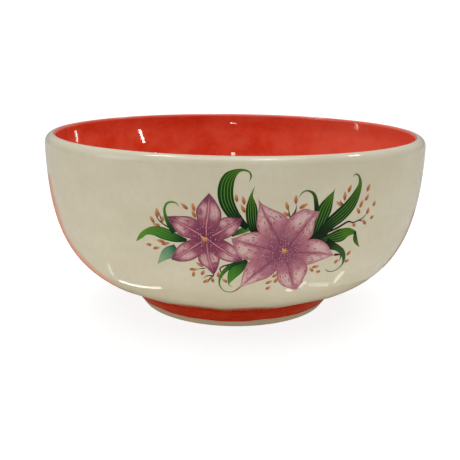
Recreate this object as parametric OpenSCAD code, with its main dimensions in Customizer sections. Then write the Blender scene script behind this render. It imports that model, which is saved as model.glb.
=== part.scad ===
// Porcelain serving bowl: a round wall on a turned foot ring, an ivory coat outside,
// a coral coat inside, a coral band on the foot and an enamel print of two lilies.
// The underside is pressed into flat facets that fade into the round belly.
// The bowl stands on z = 0 with its axis on z, and the print faces -y.

/* [Bowl] */
// Outside diameter at the rim
bowl_d = 180; // [150:5:220]
// Height from the table to the crest of the rim
bowl_h = 84; // [70:1:102]
// Thickness of the finished wall, coats included
wall_t = 5.2; // [4.3:0.1:6.4]
// Thickness of the floor in the middle, coats included
floor_t = 5.5; // [4.5:0.1:6.6]
// Slope of the underside where it leaves the foot, in degrees
under_slope = 19.5; // [15:0.5:25]
// How far the belly swells out, as a share of its reach
belly_fullness = 0.6; // [0.4:0.05:0.8]
// How far down the wall stays upright, as a share of its rise
wall_fullness = 0.73; // [0.55:0.01:0.85]

/* [Rim] */
// Height of the rounding outside the crest of the rim
rim_round_h = 4; // [3:0.5:6]
// Share of the wall that lies outside the crest
crest_share = 0.75; // [0.5:0.05:0.85]
// Height of the rounding inside the crest
rim_inner_h = 1.5; // [1:0.1:2.5]

/* [Foot] */
// Outside diameter of the foot where it meets the bowl
foot_d = 104; // [90:1:125]
// Outside diameter of the foot where it stands
foot_base_d = 90; // [76:1:100]
// Height of the foot
foot_h = 10; // [8:0.5:12]
// Inside diameter of the foot ring
foot_in_d = 76; // [64:1:80]
// Depth of the hollow under the bowl
well_h = 5.5; // [4.5:0.1:6.6]
// Height of the bare edge under the coral band
bare_edge_h = 3.3; // [2.5:0.1:4]
// Rounding of the edges that touch the table
foot_round = 0.8; // [0.5:0.1:1.2]

/* [Facets] */
// Number of flat facets pressed into the underside
facet_n = 16; // [12:2:24]
// Slope of the facets, in degrees
facet_slope = 24; // [20:0.5:28]
// Turn of the facets about the axis, in degrees
facet_turn = 7.25; // [0:0.25:22]

/* [Coats] */
// Thickness of the glaze inside and outside
glaze_t = 0.4; // [0.3:0.05:0.5]
// Thickness of the coral band and of the glaze in the hollow
band_t = 0.25; // [0.15:0.05:0.4]
// Thickness of the enamel print
print_t = 0.1; // [0.08:0.01:0.2]

/* [Print] */
// Height of the print, from its lowest curl to its highest leaf
print_h = 52; // [43:1:60]
// Gap from the crest of the rim down to the highest leaf
print_gap = 4; // [3:0.5:8]

/* [Hidden] */

$fn = 96;
wall_steps = 22;
rim_steps = 6;
floor_steps = 8;
rim_r = bowl_d / 2;
foot_r = foot_d / 2;
foot_base_r = foot_base_d / 2;
foot_in_r = foot_in_d / 2;
crest_r = rim_r - crest_share * wall_t;
rim_z = bowl_h - rim_round_h;
floor_z = well_h + floor_t;
round_handle = 0.55;
facet_r = foot_r * cos(180 / facet_n);
facet_w = 2 * rim_r * tan(180 / facet_n);
cut_back = 4;
cut_deep = 8;
blank_t = 1.2;

// ---- curves of the wall, each moved by d into the wall along its own normal ----

function unit(v) = v / norm(v);
function left_of(v) = [-v.y, v.x];
function reverse(list) = [for (i = [len(list) - 1 : -1 : 0]) list[i]];
function bezier(p, t) =
    p[0] * pow(1 - t, 3) + 3 * p[1] * t * pow(1 - t, 2) + 3 * p[2] * t * t * (1 - t) + p[3] * pow(t, 3);
function bezier_way(p, t) =
    (p[1] - p[0]) * pow(1 - t, 2) + 2 * (p[2] - p[1]) * t * (1 - t) + (p[3] - p[2]) * t * t;
function bezier_line(p, d, steps) =
    [for (i = [0 : steps]) bezier(p, i / steps) + d * left_of(unit(bezier_way(p, i / steps)))];

under_way = [cos(under_slope), sin(under_slope)];
wall_curve = [[foot_r, foot_h],
              [foot_r, foot_h] + belly_fullness * (rim_r - foot_r) * under_way,
              [rim_r, rim_z - wall_fullness * (rim_z - foot_h)],
              [rim_r, rim_z]];
rim_curve = [[rim_r, rim_z],
             [rim_r, rim_z + round_handle * rim_round_h],
             [crest_r + round_handle * (rim_r - crest_r), bowl_h],
             [crest_r, bowl_h]];
lip_in_r = rim_r - wall_t;
lip_curve = [[crest_r, bowl_h],
             [crest_r - round_handle * (crest_r - lip_in_r), bowl_h],
             [lip_in_r, bowl_h - (1 - round_handle) * rim_inner_h],
             [lip_in_r, bowl_h - rim_inner_h]];
bend_end = [foot_r, foot_h] + wall_t * left_of(under_way);
bend_reach = min((bend_end.y - floor_z) / tan(under_slope), 0.9 * bend_end.x);
bend_mid = [bend_end.x - bend_reach, floor_z];
floor_curve = [bend_end,
               bend_end + 2 / 3 * (bend_mid - bend_end),
               [0, floor_z] + 2 / 3 * (bend_mid - [0, floor_z]),
               [0, floor_z]];

function outer_line(d) = bezier_line(wall_curve, d, wall_steps);
function rim_line(d) = bezier_line(rim_curve, d, rim_steps);
function lip_line(d) = bezier_line(lip_curve, d, rim_steps);
function inner_line(d) = reverse(bezier_line(wall_curve, wall_t - d, wall_steps));
function floor_line(d) = bezier_line(floor_curve, d, floor_steps);
function tail(list) = [for (i = [1 : len(list) - 1]) list[i]];
function outside(d) = concat(outer_line(d), tail(rim_line(d)));
function inside(d) = concat(lip_line(d), inner_line(d), tail(floor_line(d)));

// ---- porcelain ----

// Takes the facets' material off the underside, d deeper along their normals.
module facet_cuts(d) {
    for (i = [0 : facet_n - 1]) rotate(facet_turn + i * 360 / facet_n)
        translate([facet_r, 0, foot_h]) rotate([0, -facet_slope, 0])
            translate([-cut_back, -facet_w / 2, d - cut_deep])
                cube([cut_back + rim_r - foot_r, facet_w, cut_deep]);
}

module bowl_body() {
    skin = outside(glaze_t);
    color("ivory") difference() {
        rotate_extrude()
            polygon(concat([[0, well_h], [foot_in_r, well_h], [foot_in_r, foot_h], [skin[0].x, foot_h]],
                           skin, tail(inside(glaze_t))));
        facet_cuts(glaze_t);
    }
}

module foot_ring() {
    flare = (foot_r - foot_base_r) / foot_h;
    edge_r = foot_base_r + flare * bare_edge_h;
    color("antiquewhite") rotate_extrude()
        polygon([[foot_in_r + foot_round, 0],
                 [foot_base_r - foot_round, 0],
                 [foot_base_r + flare * foot_round, foot_round],
                 [edge_r, bare_edge_h],
                 [edge_r - band_t, bare_edge_h],
                 [foot_r - band_t, foot_h],
                 [foot_in_r, foot_h],
                 [foot_in_r, foot_round]]);
}

// ---- coats ----

// A faceted blank whose outside lies d under the finished surface and its back at
// back_d, with its root on the foot ring's top at root_r.
module faceted_blank(d, back_d, root_r) {
    skin = outside(d);
    difference() {
        rotate_extrude()
            polygon(concat([[root_r, foot_h], [skin[0].x, foot_h]], skin, reverse(outside(back_d))));
        facet_cuts(d);
    }
}

module faceted_coat(d, under_d) {
    difference() {
        faceted_blank(d, under_d + blank_t, foot_in_r + blank_t);
        faceted_blank(under_d, under_d + 2 * blank_t, foot_in_r);
    }
}

module outer_glaze() {
    color("beige") faceted_coat(0, glaze_t);
}

module inner_glaze() {
    color("orangered") rotate_extrude()
        polygon(concat(inside(0), reverse(inside(glaze_t))));
}

module foot_band() {
    flare = (foot_r - foot_base_r) / foot_h;
    edge_r = foot_base_r + flare * bare_edge_h;
    color("firebrick") rotate_extrude()
        polygon([[edge_r - band_t, bare_edge_h], [edge_r, bare_edge_h],
                 [foot_r, foot_h], [foot_r - band_t, foot_h]]);
}

module well_glaze() {
    color("linen") rotate_extrude()
        polygon([[0, well_h - band_t], [foot_in_r - band_t, well_h - band_t],
                 [foot_in_r - band_t, 2 * foot_round], [foot_in_r, 2 * foot_round],
                 [foot_in_r, well_h], [0, well_h]]);
}

// ---- enamel print ----
// A stroke is a row of [x, z, half width on its left, half width on its right], from
// root to tip, as seen from the front. Its drawing runs from z = 28 to z = 80.

drawn_low = 28;
drawn_h = 52;
stroke_steps = 3;

left_lily = [
    [[-10.5, 52.5, 0.8, 0.8], [-10.5, 58, 3.2, 4.4], [-9.8, 63, 4.6, 5], [-9.5, 67, 2.9, 2.8],
     [-9.5, 70.5, 0, 0]],
    [[-10.5, 52.5, 0.8, 0.8], [-15, 55.2, 3.2, 3.9], [-19, 57.3, 4.3, 4.2], [-22.5, 59.2, 2.6, 1.9],
     [-25.5, 60.5, 0, 0]],
    [[-10.5, 52.5, 0.8, 0.8], [-6, 55, 3.6, 2.6], [-2.3, 57.6, 4, 3.8], [0.6, 59.3, 2.3, 2.3],
     [3, 61, 0, 0]],
    [[-10.5, 52.5, 0.8, 0.8], [-14.5, 49.5, 3.6, 2.2], [-18.5, 46.4, 4.2, 3.6], [-21.8, 44, 2.6, 2.2],
     [-24.5, 42.5, 0, 0]],
    [[-10.5, 52.5, 0.8, 0.8], [-10.2, 48.2, 3, 2.4], [-9.6, 44, 4.3, 4.2], [-8.6, 40.2, 2.8, 1.9],
     [-7.7, 36.5, 0, 0]],
    [[-10.5, 52.5, 0.8, 0.8], [-6, 49.3, 2.6, 3.2], [-2, 46.5, 3.6, 3.6], [1, 44.8, 2.3, 2.3],
     [3.5, 43.5, 0, 0]]];

right_lily = [
    [[19.3, 47.2, 1, 1], [16.5, 53, 4, 6.4], [13.4, 58.7, 5.2, 6.6], [10.9, 63.4, 2.9, 3.6],
     [9, 67.2, 0.6, 0.6], [7.7, 69.8, 0, 0]],
    [[19.3, 47.2, 1, 1], [22.8, 51.5, 4.6, 3.6], [26, 55.9, 6.9, 5], [29.1, 59.8, 5.6, 2.4],
     [31, 61.4, 2.4, 1.2], [32.5, 62.7, 0, 0]],
    [[19.3, 47.2, 1, 1], [13, 48.6, 4.4, 3.6], [7.5, 50, 6.6, 5.6], [3.5, 51.3, 6, 3.9],
     [0.8, 52.1, 2.8, 1.4], [-1, 52.7, 0, 0]],
    [[19.3, 47.2, 1, 1], [14.5, 43, 4.4, 3.4], [9.8, 38.9, 5, 5.6], [6.2, 35, 2.6, 3.4],
     [3.6, 32, 0.3, 0.3], [1.5, 29.5, 0, 0]],
    [[19.3, 47.2, 1.2, 1.2], [20.8, 42.2, 5.5, 4.2], [22.3, 37, 7.2, 5.4], [23.4, 32.8, 4.8, 4.6],
     [24.4, 29.9, 3.2, 1.8], [25.5, 28.1, 0, 0]],
    [[19.3, 47.2, 1, 1], [24.5, 46.4, 3.8, 4.6], [30, 45.6, 6, 5.4], [35, 44.6, 4.6, 2.9],
     [39, 43.6, 0.5, 0.5], [40.5, 43.3, 0, 0]]];

hearts = [[-10.7, 52.3, 1.3], [19.3, 47.2, 1]];

leaves = [
    [[5, 57, 1, 1], [0, 62, 2.2, 2.2], [-2.8, 67, 2.8, 2.8], [-3.4, 72, 2.9, 2.9], [-2, 76.5, 2.3, 2.3],
     [1.5, 79.2, 0.7, 0.7], [4.8, 79, 0.3, 0.3], [6, 77.2, 0.3, 0.3], [5.2, 74.7, 0, 0]],
    [[8, 55, 1.5, 1.5], [6.7, 60, 2.1, 2.1], [6.4, 65, 2.1, 2.1], [6.2, 69, 0.8, 0.8],
     [6.6, 71, 0.3, 0.3], [7.5, 73.5, 0, 0]],
    [[-1, 54, 0.6, 0.6], [3, 56, 1.1, 1.1], [7, 57, 0.6, 0.6]],
    [[31.8, 60.5, 1.1, 1.1], [30.9, 67, 0.8, 0.8], [30, 69.6, 0.6, 0.6], [28.5, 70.8, 0.4, 0.4],
     [26.8, 71.1, 0.25, 0.25], [25.3, 70.3, 0.2, 0.2], [24, 68.4, 0, 0]],
    [[29.8, 49.6, 1.8, 1.8], [32.6, 57.6, 2.5, 2.5], [34.6, 63.5, 2.7, 2.9], [36.5, 67.4, 1.5, 1.5],
     [37.8, 70, 0.3, 0.3], [38.5, 71.5, 0, 0]],
    [[31, 49.8, 1.8, 1.8], [36.8, 56.8, 2.4, 2.4], [41, 60.2, 2.8, 2.8], [45, 64, 2.5, 2.5],
     [47.6, 68.5, 1.6, 1.6], [48.8, 72, 0.8, 0.8], [48.3, 75, 0.4, 0.4], [46.8, 76.2, 0.25, 0.25],
     [45.4, 75.2, 0, 0]],
    [[31, 49.6, 1.2, 1.2], [37.5, 51.2, 1.9, 1.9], [41.5, 51.9, 2.7, 3], [45, 52.8, 1.8, 2],
     [48.4, 52.2, 0.6, 0.6]],
    [[48.2, 52.6, 0.4, 0.4], [48.5, 49.5, 0.9, 0.9], [49.4, 47.2, 0.7, 0.7], [51, 45, 0, 0]],
    [[36, 50, 1.6, 1.6], [38.6, 47.8, 1.7, 1.7], [41, 46.4, 1.3, 1.3], [43.3, 44.2, 1.1, 1.1],
     [44.4, 41, 0.7, 0.7], [44, 38.2, 0.3, 0.3], [42.2, 36.3, 0.2, 0.2], [39.9, 35.5, 0.2, 0.2],
     [37.9, 36, 0.2, 0.2], [36.7, 37.2, 0, 0]],
    [[-18, 51.2, 0.6, 0.6], [-22.5, 52, 1.9, 1.9], [-27, 53.3, 2.5, 2.5], [-31, 54, 1.9, 1.9],
     [-34.4, 53, 1.1, 1.1], [-36.5, 51, 0.9, 0.9], [-38.5, 48.5, 0, 0]],
    [[-22, 47.5, 2, 2], [-25.5, 45.2, 2.4, 2.4], [-28, 42.5, 1.3, 1.3], [-30.2, 39.5, 0, 0]],
    [[-23, 54, 1, 1], [-25.2, 57.9, 0.8, 0.8], [-26.3, 61, 0.6, 0.6], [-26.5, 63.5, 0.45, 0.45],
     [-25.6, 65.5, 0.4, 0.4], [-24, 66.3, 0.35, 0.35], [-22, 66, 0.25, 0.25], [-20.8, 64.5, 0, 0]],
    [[5, 43.6, 0.8, 0.8], [2.2, 40.5, 2.2, 2.2], [-0.2, 37.4, 2.1, 2.1], [-1.8, 33, 0.4, 0.4],
     [-1.3, 31.5, 0.15, 0.15], [-0.2, 31, 0, 0]],
    [[3, 43, 0.8, 0.8], [-0.5, 41.5, 0.9, 0.9], [-3, 39.2, 0.9, 0.9], [-4.9, 36.3, 0.6, 0.6],
     [-5.6, 33.3, 0.35, 0.35], [-5.1, 30.8, 0.25, 0.25], [-3.6, 28.8, 0.2, 0.2],
     [-1.3, 28.2, 0.2, 0.2], [0.8, 29, 0.2, 0.2], [2.4, 30.8, 0, 0]]];

twigs = [
    [[-24, 55.5, 0.3, 0.3], [-27.2, 57.3, 0.25, 0.25], [-29.2, 59.1, 0.2, 0.2], [-30.6, 61.8, 0, 0]],
    [[-27.7, 57.7, 0.2, 0.2], [-28.2, 60, 0.2, 0.2], [-29.4, 63.3, 0, 0]],
    [[-7.7, 36.6, 0.3, 0.3], [-9.5, 34.4, 0.25, 0.25], [-10.4, 32.2, 0, 0]],
    [[-8.4, 36.3, 0.25, 0.25], [-10.4, 36, 0.2, 0.2], [-12.2, 34.6, 0, 0]],
    [[-11, 39.6, 0.2, 0.2], [-12.5, 39.4, 0.2, 0.2], [-14.4, 38.8, 0, 0]],
    [[0, 42, 0.3, 0.3], [-3.9, 40.9, 0.3, 0.3], [-5.3, 39.4, 0.25, 0.25], [-4.6, 37.5, 0.2, 0.2],
     [-4.4, 34.6, 0, 0]],
    [[20.2, 59, 0.5, 0.5], [21.6, 61.2, 0.35, 0.35], [23.1, 63.4, 0.3, 0.3], [23.4, 66.2, 0, 0]],
    [[21.2, 60.8, 0.25, 0.25], [20.6, 63, 0.2, 0.2], [20.3, 65, 0, 0]],
    [[32, 52.4, 0.35, 0.35], [39.9, 55, 0.4, 0.4], [44.5, 57.2, 0.35, 0.35], [46.9, 56.6, 0.25, 0.25],
     [49.5, 57.2, 0.25, 0.25], [51.5, 58.2, 0.2, 0.2], [53, 60, 0, 0]],
    [[49.5, 57.2, 0.2, 0.2], [50.3, 56.8, 0.2, 0.2], [51.4, 56.5, 0, 0]],
    [[42.1, 64.6, 0.2, 0.2], [41.3, 65.4, 0.2, 0.2], [40.8, 66.8, 0, 0]],
    [[42.9, 43, 0.25, 0.25], [42.8, 41.4, 0.2, 0.2], [42.2, 39.8, 0, 0]],
    [[40, 43.4, 0.5, 0.5], [41.6, 43.3, 0.45, 0.45], [43.2, 43.1, 0.1, 0.1]]];

// A bud is [x, z, turn to the left from upright in degrees, length].
buds = [
    [-29.5, 61.6, 5, 3.4], [-31.5, 58.6, 30, 2.8], [-27.4, 59.2, -10, 2.2], [-29.8, 56.6, 75, 2.6],
    [-18.8, 64.9, 50, 3], [-15.4, 64.8, 15, 2.9], [-15.3, 62.1, 25, 2.8],
    [-33.3, 47.9, 85, 2], [-30.2, 46.8, -75, 2.4], [-28.4, 50, 80, 3], [-26.4, 49.1, -75, 3],
    [-13.2, 41.1, 60, 2.8], [-15.6, 38.7, -88, 3], [-15.7, 36.6, -10, 2.3], [-12, 37.5, -25, 2.3],
    [-10.9, 33.5, -50, 2.4], [-8.3, 34.3, 15, 2.4], [-5.9, 36.9, -10, 2.3], [-3.4, 34, 50, 2.2],
    [0.7, 68.8, 10, 2.7], [3.4, 67.9, 12, 2.9], [3.2, 64.7, 25, 3],
    [19.8, 65.5, 15, 2.9], [23.1, 67.9, 0, 3], [26.2, 65.2, -62, 3.2], [19.6, 62.3, 55, 2.7],
    [51.9, 56, 35, 2.4], [47.3, 55.6, 40, 1.8], [53.2, 60.6, -15, 2.4], [55.4, 57.5, -60, 1.7],
    [48.9, 61.2, 25, 2.4], [50, 63.9, -20, 2.9], [42.6, 67.9, 0, 3.2], [40.5, 65.1, 55, 2.7],
    [44.5, 70.7, -20, 2.8], [52.7, 70.2, -20, 2.8], [52.3, 66.2, -30, 2.4], [55.9, 63.2, -20, 2],
    [46.4, 43.2, -40, 2.2], [46, 39.6, -60, 1.8], [41.2, 40.2, -40, 2],
    [32.5, 38.9, -85, 2.6], [30.9, 37.7, 40, 2.2], [33.7, 36.4, 85, 1.8],
    [16.3, 36.3, -50, 2.3], [14, 33.1, -60, 2.6], [16.9, 34, -30, 2.6], [13.8, 30.1, -60, 2]];
bud_w = 1.3;
bud_stretch = 1.22;

function curve4(p, i, t) =
    let (a = p[max(i - 1, 0)], b = p[i], c = p[i + 1], d = p[min(i + 2, len(p) - 1)])
    b + 0.5 * t * ((c - a) + t * ((2 * a - 5 * b + 4 * c - d) + t * (3 * (b - c) + d - a)));
function smooth(p) =
    concat([for (i = [0 : len(p) - 2], k = [0 : stroke_steps - 1]) curve4(p, i, k / stroke_steps)],
           [p[len(p) - 1]]);
function place(p) = [p.x, p.y];
function way(p, i) = unit(place(p[min(i + 1, len(p) - 1)]) - place(p[max(i - 1, 0)]));
function side(p, i, w) = place(p[i]) + w * left_of(way(p, i));

module stroke(nodes) {
    p = smooth(nodes);
    last = len(p) - 1;
    polygon(concat([for (i = [0 : last]) side(p, i, max(p[i][2], 0))],
                   [for (i = [last - 1 : -1 : 0]) side(p, i, -max(p[i][3], 0))]));
}

module strokes(list) {
    for (nodes = list) stroke(nodes);
}

module heart_shapes() {
    for (h = hearts) translate([h.x, h.y]) circle(r = h[2]);
}

module bud_shapes() {
    for (b = buds) translate([b.x, b.y]) rotate(b[2]) scale([1, bud_stretch])
        polygon([[0, -b[3] / 2], [bud_w / 2, -b[3] / 6], [bud_w / 2.4, b[3] / 6], [0, b[3] / 2],
                 [-bud_w / 2.4, b[3] / 6], [-bud_w / 2, -b[3] / 6]]);
}

// Wraps a drawing on the front of the bowl, as a coat of the print's thickness.
module on_front() {
    k = print_h / drawn_h;
    intersection() {
        rotate([90, 0, 0]) linear_extrude(height = bowl_d)
            translate([0, bowl_h - print_gap - print_h]) scale(k) translate([0, -drawn_low])
                children();
        faceted_coat(-print_t, 0);
    }
}

module left_lily_print() {
    color("mediumvioletred") on_front() difference() {
        strokes(left_lily);
        strokes(right_lily);
        heart_shapes();
    }
}

module right_lily_print() {
    color("palevioletred") on_front() difference() {
        strokes(right_lily);
        heart_shapes();
    }
}

module lily_heart_print() {
    color("sandybrown") on_front() heart_shapes();
}

module leaf_print() {
    color("darkgreen") on_front() difference() {
        strokes(leaves);
        strokes(left_lily);
        strokes(right_lily);
    }
}

module twig_print() {
    color("saddlebrown") on_front() difference() {
        strokes(twigs);
        strokes(leaves);
        strokes(left_lily);
        strokes(right_lily);
    }
}

module bud_print() {
    color("chocolate") on_front() difference() {
        bud_shapes();
        strokes(twigs);
        strokes(leaves);
        strokes(left_lily);
        strokes(right_lily);
    }
}

bowl_body();
foot_ring();
outer_glaze();
inner_glaze();
foot_band();
well_glaze();
left_lily_print();
right_lily_print();
lily_heart_print();
leaf_print();
twig_print();
bud_print();
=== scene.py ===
# %% [markdown]
# # A porcelain serving bowl with two painted lilies
#
# The real bowl is thrown porcelain: a round wall that stands on a turned foot ring. It has an
# ivory glaze outside, a coral glaze inside, a coral band on the foot, and a flower print that
# was fired onto the front. The engineering model is loaded first and never moved, because
# every skin and every petal below is placed by its measures.

# %% Load the fixed model
import math
import random

import bpy
from mathutils import Matrix, Vector


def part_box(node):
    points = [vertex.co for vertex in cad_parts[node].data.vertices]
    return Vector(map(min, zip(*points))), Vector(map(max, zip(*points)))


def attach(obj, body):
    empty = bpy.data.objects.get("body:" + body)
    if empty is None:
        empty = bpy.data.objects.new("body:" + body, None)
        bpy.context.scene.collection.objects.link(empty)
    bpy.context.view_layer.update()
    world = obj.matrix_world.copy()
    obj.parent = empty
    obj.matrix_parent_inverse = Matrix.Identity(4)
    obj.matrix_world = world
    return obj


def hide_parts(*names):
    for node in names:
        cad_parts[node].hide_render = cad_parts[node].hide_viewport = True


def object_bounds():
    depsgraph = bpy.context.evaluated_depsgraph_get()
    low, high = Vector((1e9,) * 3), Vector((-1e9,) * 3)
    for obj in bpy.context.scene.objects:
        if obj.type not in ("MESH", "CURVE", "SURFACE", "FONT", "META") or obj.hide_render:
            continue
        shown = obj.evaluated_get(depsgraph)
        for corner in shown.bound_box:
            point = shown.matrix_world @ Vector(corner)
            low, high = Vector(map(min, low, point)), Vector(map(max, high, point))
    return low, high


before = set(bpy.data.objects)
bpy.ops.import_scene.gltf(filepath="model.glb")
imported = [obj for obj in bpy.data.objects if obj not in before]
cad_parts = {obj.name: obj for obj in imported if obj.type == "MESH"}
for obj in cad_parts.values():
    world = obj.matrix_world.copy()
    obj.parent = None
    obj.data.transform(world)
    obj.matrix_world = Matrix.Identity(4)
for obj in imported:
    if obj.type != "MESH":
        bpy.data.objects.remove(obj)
cad_low, cad_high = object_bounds()
bpy.ops.object.select_all(action="DESELECT")
print("model box", [round(v, 4) for v in cad_low], [round(v, 4) for v in cad_high])

# %% [markdown]
# ## Measures
#
# A potter works to a rib, a flat tool cut to the profile of the wall. The same can be done
# here: the profile is drawn once as smooth curves, in millimetres, and all pieces come from
# it. Its corner points are read from the boxes of the model's nodes, so that the looks follow
# the model, and only the swell of the curves is written down as numbers.

# %% Read the sizes of the bowl
MM = 0.001
band_low, band_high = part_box("foot_band")
well_low, well_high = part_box("well_glaze")
RIM_R = round(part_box("outer_glaze")[1].x / MM, 1)
BOWL_H = round(cad_high.z / MM, 1)
FOOT_R = round(band_high.x / MM, 1)
FOOT_H = round(band_high.z / MM, 1)
BARE_H = round(band_low.z / MM, 1)
WELL_R = round(well_high.x / MM, 1)
WELL_H = round(well_high.z / MM, 1)
WELL_LOW = round(well_low.z / MM, 1)
FOOT_BASE_R = 45.0
FOOT_ROUND = 0.8
UNDER_SLOPE = math.radians(19.5)
WALL_T = 5.2
FLOOR_T = 5.5
RIM_ROUND_H = 4.0
LIP_DROP = 1.5
SKIN_T = 0.34
BAND_T = 0.25
print("rim", RIM_R, "height", BOWL_H, "foot", FOOT_R, FOOT_H, "well", WELL_R, WELL_H)

# %% Draw the profile as smooth curves
UNDER_WAY = Vector((math.cos(UNDER_SLOPE), math.sin(UNDER_SLOPE)))
BELLY_PULL = 0.6
SIDE_PULL = 0.73
CREST_R = RIM_R - 0.75 * WALL_T
LIP_R = RIM_R - WALL_T
FLOOR_Z = WELL_H + FLOOR_T
ROUND_PULL = 0.55
foot_top = Vector((FOOT_R, FOOT_H))
rim_side = Vector((RIM_R, BOWL_H - RIM_ROUND_H))
crest = Vector((CREST_R, BOWL_H))
lip_side = Vector((LIP_R, BOWL_H - LIP_DROP))
wall_curve = [foot_top,
              foot_top + BELLY_PULL * (RIM_R - FOOT_R) * UNDER_WAY,
              rim_side - Vector((0, SIDE_PULL * (rim_side.y - FOOT_H))),
              rim_side]
rim_curve = [rim_side,
             rim_side + Vector((0, ROUND_PULL * RIM_ROUND_H)),
             crest + Vector((ROUND_PULL * (RIM_R - CREST_R), 0)),
             crest]
lip_curve = [crest,
             crest - Vector((ROUND_PULL * (CREST_R - LIP_R), 0)),
             lip_side + Vector((0, ROUND_PULL * LIP_DROP)),
             lip_side]
bend_end = foot_top + WALL_T * Vector((-UNDER_WAY.y, UNDER_WAY.x))
bend_mid = Vector((bend_end.x - (bend_end.y - FLOOR_Z) / math.tan(UNDER_SLOPE), FLOOR_Z))
floor_mid = Vector((0, FLOOR_Z))
floor_curve = [bend_end, bend_end.lerp(bend_mid, 2 / 3), floor_mid.lerp(bend_mid, 2 / 3), floor_mid]


def bezier(points, t):
    """The point at t on a curve of four points, and the unit direction there."""
    a, b, c, d = points
    s = 1 - t
    place = a * s ** 3 + b * 3 * s * s * t + c * 3 * s * t * t + d * t ** 3
    way = (b - a) * s * s + (c - b) * 2 * s * t + (d - c) * t * t
    return place, way.normalized()


def line(points, steps, inward=0.0):
    """A row of points along a curve, each moved into the wall along its own normal."""
    row = []
    for i in range(steps + 1):
        place, way = bezier(points, i / steps)
        row.append(place + inward * Vector((-way.y, way.x)))
    return row


print("profile from", tuple(foot_top), "to", tuple(crest), "and the floor at", FLOOR_Z)

# %% [markdown]
# ## Turning on the wheel
#
# A lathe or a wheel makes a shape by sweeping one outline about the axis. The same move is
# the Spin tool: a single vertex is extruded along the outline, point by point, and the line
# is spun once round. The doubles at the seam and at the poles are merged, and the normals are
# recalculated, because Spin may leave the shape inside out.

# %% The turning helper
WHEEL_STEPS = 320
TURN_MERGE = 0.002 * MM


def turned(name, outline):
    """Spins an outline of (radius, height) points in millimetres into one closed piece."""
    bpy.ops.object.select_all(action="DESELECT")
    bpy.ops.mesh.primitive_plane_add(size=MM, location=(0, 0, 0))
    piece = bpy.context.object
    piece.name = name
    bpy.ops.object.mode_set(mode="EDIT")
    bpy.ops.mesh.merge(type="CENTER")
    here = Vector((0, 0))
    for count, point in enumerate(outline + outline[:1]):
        step = (point - here) * MM
        shift = (step.x, 0, step.y)
        if count == 0:
            bpy.ops.transform.translate(value=shift)
        else:
            bpy.ops.mesh.extrude_vertices_move(TRANSFORM_OT_translate={"value": shift})
        here = point
    bpy.ops.mesh.select_all(action="SELECT")
    bpy.ops.mesh.remove_doubles(threshold=TURN_MERGE)
    bpy.ops.mesh.select_all(action="SELECT")
    bpy.ops.mesh.spin(steps=WHEEL_STEPS, angle=math.tau, center=(0, 0, 0), axis=(0, 0, 1))
    bpy.ops.mesh.select_all(action="SELECT")
    bpy.ops.mesh.remove_doubles(threshold=TURN_MERGE)
    bpy.ops.mesh.normals_make_consistent(inside=False)
    bpy.ops.object.mode_set(mode="OBJECT")
    heights = [vertex.co.z / MM for vertex in piece.data.vertices]
    low, high = round(min(heights), 2), round(max(heights), 2)
    print(name, len(piece.data.polygons), "faces, from", low, "to", high)
    return piece


def smooth(piece, angle=35):
    """Smooth shading that keeps edges sharper than the angle."""
    bpy.ops.object.select_all(action="DESELECT")
    piece.select_set(True)
    bpy.context.view_layer.objects.active = piece
    bpy.ops.object.shade_smooth_by_angle(angle=math.radians(angle))


def rounded(corner, toward, away, radius, steps=5):
    """Points that round a corner of an outline between the two neighbours given."""
    start = corner + (toward - corner).normalized() * radius
    end = corner + (away - corner).normalized() * radius
    row = []
    for i in range(steps + 1):
        t = i / steps
        row.append(start * (1 - t) ** 2 + corner * 2 * t * (1 - t) + end * t * t)
    return row


print("one turn has", WHEEL_STEPS, "steps")

# %% [markdown]
# ## The ivory skin outside
#
# The outside glaze is a skin a third of a millimetre thick. It could be a copy of the body
# pushed outwards, but a skin with an outline of its own keeps an even thickness and a clean
# edge at the rim. Its hem rests on the foot ring.

# %% Turn the ivory skin
HEM_W = 2.6
outside = line(wall_curve, 84) + line(rim_curve, 14)[1:]
outside_back = line(wall_curve, 56, SKIN_T) + line(rim_curve, 8, SKIN_T)[1:]
hem = [Vector((FOOT_R - HEM_W, FOOT_H))]
ivory_skin = turned("ivory_glaze_skin", hem + outside + outside_back[::-1])

# %% [markdown]
# ### Pressing the soft facets
#
# The underside was pressed into sixteen shallow facets while the clay was soft. Flat cuts
# would give hard edges, so each vertex is pushed in by a soft maximum of its depth behind the
# sixteen planes: where two facets meet, and where they fade into the round belly, the change
# is gradual, as under a thick glaze.

# %% Press the facets into the skin
FACETS = 16
FACET_SLOPE = math.radians(24)
FACET_TURN = math.radians(7.25)
FACET_R = FOOT_R * math.cos(math.pi / FACETS)
FACET_TOP = 24
FACET_IN = FOOT_R - 2
SOFT_EDGE = 0.05
SOFT_FADE = 0.045
TOO_FAR = -1.5
EXP_LIMIT = 60.0


def facet_depth(place, inward):
    """How far a point in millimetres lies outside the facets, softened at every border."""
    total = 0.0
    for i in range(FACETS):
        turn = FACET_TURN + i * math.tau / FACETS
        normal = Vector((math.sin(FACET_SLOPE) * math.cos(turn),
                         math.sin(FACET_SLOPE) * math.sin(turn),
                         -math.cos(FACET_SLOPE)))
        on_plane = Vector((FACET_R * math.cos(turn), FACET_R * math.sin(turn), FOOT_H))
        depth = normal.dot(place - on_plane) + inward
        if depth > TOO_FAR:
            total += math.exp(depth / SOFT_EDGE)
    if total == 0.0:
        return 0.0
    deepest = SOFT_EDGE * math.log(total)
    return SOFT_FADE * math.log(1 + math.exp(min(deepest / SOFT_FADE, EXP_LIMIT)))


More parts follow.
